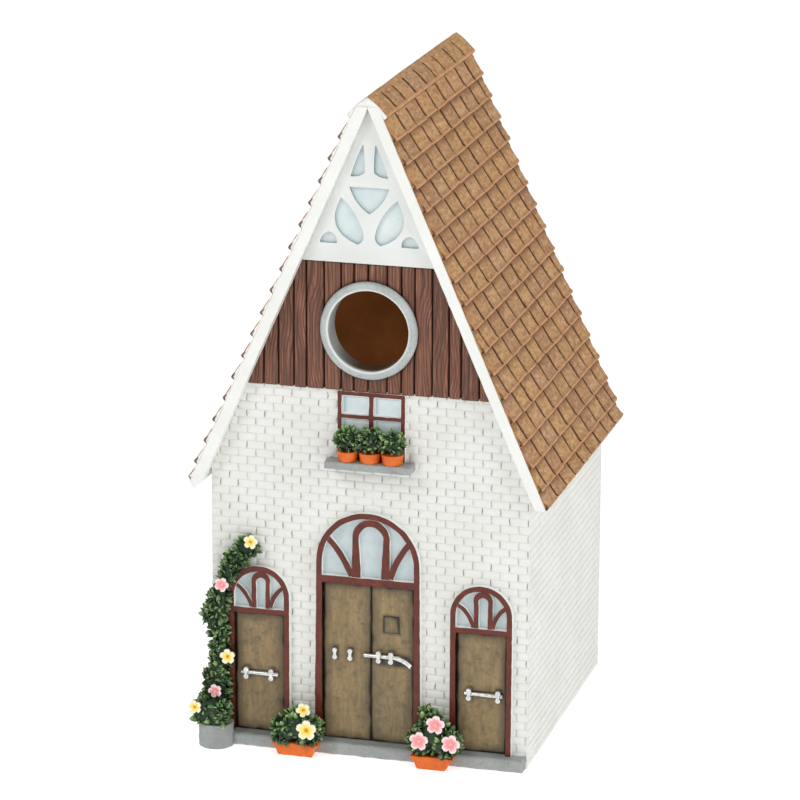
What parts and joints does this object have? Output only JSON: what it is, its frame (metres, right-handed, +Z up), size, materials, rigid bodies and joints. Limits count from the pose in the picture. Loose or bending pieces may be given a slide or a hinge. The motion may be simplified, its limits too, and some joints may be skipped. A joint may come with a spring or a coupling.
{
  "type": "birdhouse",
  "caption": "Tall gabled nest box shaped like a town house, with a round ringed entrance, a tiled roof, relief doors and flowers, a rear swing cover for cleaning and a keyhole hanger.",
  "frame": {"origin": "centre of the four walls' footprint, on the surface the birdhouse stands on", "axes": "+Z up, the front wall with the entrance faces -Y, +X is to the right seen from the front"},
  "size_m": [0.1554, 0.1523, 0.2822],
  "materials": {
    "wall_resin": "cast polyresin painted matt off-white, with moulded brickwork",
    "white_trim": "cast polyresin painted matt white",
    "roof_tiles": "cast polyresin painted tan brown with darker washes",
    "dark_planks": "cast polyresin with wood grain, painted dark red-brown",
    "grey_stone": "cast polyresin painted stone grey with fine speckles",
    "pale_glass": "opaque pale blue-grey paint standing for window panes",
    "red_brown_frames": "cast polyresin painted red-brown, satin",
    "door_leaves": "cast polyresin painted olive brown with a dark wash",
    "silver_fittings": "cast relief painted bright silver",
    "orange_pots": "cast polyresin painted terracotta orange",
    "foliage": "cast polyresin painted dark green, dry-brushed light green",
    "stone_pot": "cast polyresin painted speckled grey",
    "yellow_flowers": "cast polyresin painted pale yellow",
    "pink_flowers": "cast polyresin painted pink and yellow",
    "zinc_steel": "zinc-plated steel",
    "nylon": "natural nylon"
  },
  "bodies": {
    "house": {"front_wall": "wall_resin", "back_wall": "wall_resin", "left_wall": "wall_resin", "right_wall": "wall_resin", "floor_panel": "wall_resin", "left_roof_deck": "wall_resin", "right_roof_deck": "wall_resin", "left_bargeboard": "white_trim", "right_bargeboard": "white_trim", "ridge_tiles": "roof_tiles", "left_tile_courses": "roof_tiles", "right_tile_courses": "roof_tiles", "gable_planks": "dark_planks", "entrance_ring": "grey_stone", "gable_tracery": "white_trim", "gable_glass": "pale_glass", "window_frame": "red_brown_frames", "window_glass": "pale_glass", "window_sill": "grey_stone", "sill_pot_left": "orange_pots", "sill_pot_middle": "orange_pots", "sill_pot_right": "orange_pots", "sill_plant_left": "foliage", "sill_plant_middle": "foliage", "sill_plant_right": "foliage", "centre_door_frame": "red_brown_frames", "centre_fanlight_glass": "pale_glass", "centre_door_left_leaf": "door_leaves", "centre_door_right_leaf": "door_leaves", "centre_door_hatch": "door_leaves", "centre_bolt": "silver_fittings", "centre_bolt_guides": "silver_fittings", "centre_bolt_keepers": "silver_fittings", "left_door_frame": "red_brown_frames", "left_fanlight_glass": "pale_glass", "left_door_leaf": "door_leaves", "left_bolt": "silver_fittings", "left_bolt_guides": "silver_fittings", "right_door_frame": "red_brown_frames", "right_fanlight_glass": "pale_glass", "right_door_leaf": "door_leaves", "right_bolt": "silver_fittings", "right_bolt_guides": "silver_fittings", "front_step": "grey_stone", "round_pot": "stone_pot", "climbing_vine": "foliage", "vine_flowers": "pink_flowers", "left_trough": "orange_pots", "left_trough_foliage": "foliage", "left_trough_flowers": "yellow_flowers", "right_trough": "orange_pots", "right_trough_foliage": "foliage", "right_trough_flowers": "pink_flowers", "cover_pivot_screw": "zinc_steel", "pivot_washer": "nylon", "cover_keeper_screw": "zinc_steel", "hanger_plate": "zinc_steel", "hanger_screws": "zinc_steel"},
    "cover": {"clean_out_cover": "zinc_steel"}
  },
  "joints": [
    {"name": "cover_swing", "type": "hinge", "parent": "house", "child": "cover", "pos_m": [0, 0.0676, 0.091], "axis": [0, 1, 0], "range_deg": [0, 180]}
  ]
}
